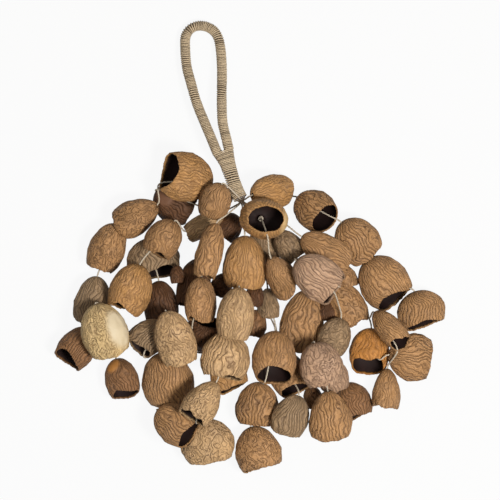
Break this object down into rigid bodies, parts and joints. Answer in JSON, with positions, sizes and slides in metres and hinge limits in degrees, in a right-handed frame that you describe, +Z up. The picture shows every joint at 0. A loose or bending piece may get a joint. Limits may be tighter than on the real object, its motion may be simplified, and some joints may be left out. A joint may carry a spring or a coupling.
{
  "type": "nutshell shaker",
  "caption": "Hand shaker: a bound rope loop gathers knotted cords threaded through drilled, cut-open nutshells that rattle together.",
  "frame": {"origin": "on the surface that the shaker lies on, under the middle of the outline of its handle and shells", "axes": "+Z up from the surface, +Y along the shaker towards its rope loop, +X to the right seen from above"},
  "size_m": [0.347, 0.4018, 0.0736],
  "materials": {
    "whipping_twine": "matt",
    "core_rope": "matt",
    "cord": "matt",
    "nutshell_cream": "satin",
    "nutshell_pale": "satin",
    "nutshell_tan": "satin",
    "nutshell_honey": "satin",
    "nutshell_brown": "satin",
    "nutshell_dark": "satin",
    "nutshell_grey": "satin",
    "nutshell_pink": "satin",
    "nutshell_rust": "satin"
  },
  "bodies": {
    "root": {"loop_whipping": "whipping_twine", "neck_whipping": "whipping_twine", "handle_core": "core_rope", "cords": "cord", "nutshell_a1": "nutshell_honey", "nutshell_a2": "nutshell_tan", "nutshell_a3": "nutshell_tan", "nutshell_a4": "nutshell_grey", "nutshell_a5": "nutshell_brown", "nutshell_b1": "nutshell_pale", "nutshell_b2": "nutshell_tan", "nutshell_b3": "nutshell_honey", "nutshell_b4": "nutshell_cream", "nutshell_b5": "nutshell_brown", "nutshell_c1": "nutshell_tan", "nutshell_c2": "nutshell_dark", "nutshell_c3": "nutshell_grey", "nutshell_c4": "nutshell_dark", "nutshell_c5": "nutshell_pale", "nutshell_c6": "nutshell_tan", "nutshell_d1": "nutshell_tan", "nutshell_d2": "nutshell_dark", "nutshell_d3": "nutshell_tan", "nutshell_d4": "nutshell_dark", "nutshell_d5": "nutshell_honey", "nutshell_e1": "nutshell_honey", "nutshell_e2": "nutshell_pale", "nutshell_e3": "nutshell_pale", "nutshell_e4": "nutshell_pale", "nutshell_e5": "nutshell_pale", "nutshell_g1": "nutshell_grey", "nutshell_g2": "nutshell_tan", "nutshell_h1": "nutshell_honey", "nutshell_h2": "nutshell_tan", "nutshell_h3": "nutshell_tan", "nutshell_h4": "nutshell_pink", "nutshell_h5": "nutshell_tan", "nutshell_j1": "nutshell_grey", "nutshell_j2": "nutshell_grey", "nutshell_j3": "nutshell_tan", "nutshell_j4": "nutshell_tan", "nutshell_j5": "nutshell_tan", "nutshell_k1": "nutshell_honey", "nutshell_k2": "nutshell_tan", "nutshell_k3": "nutshell_tan", "nutshell_k4": "nutshell_tan", "nutshell_k5": "nutshell_tan", "nutshell_l1": "nutshell_tan", "nutshell_l2": "nutshell_rust", "nutshell_l3": "nutshell_tan", "nutshell_m1": "nutshell_grey", "nutshell_m2": "nutshell_pink", "nutshell_m3": "nutshell_tan", "nutshell_m4": "nutshell_tan", "nutshell_m5": "nutshell_tan", "nutshell_n1": "nutshell_grey", "nutshell_n2": "nutshell_pink", "nutshell_n3": "nutshell_brown", "nutshell_q1": "nutshell_tan", "nutshell_q2": "nutshell_grey"}
  },
  "joints": []
}
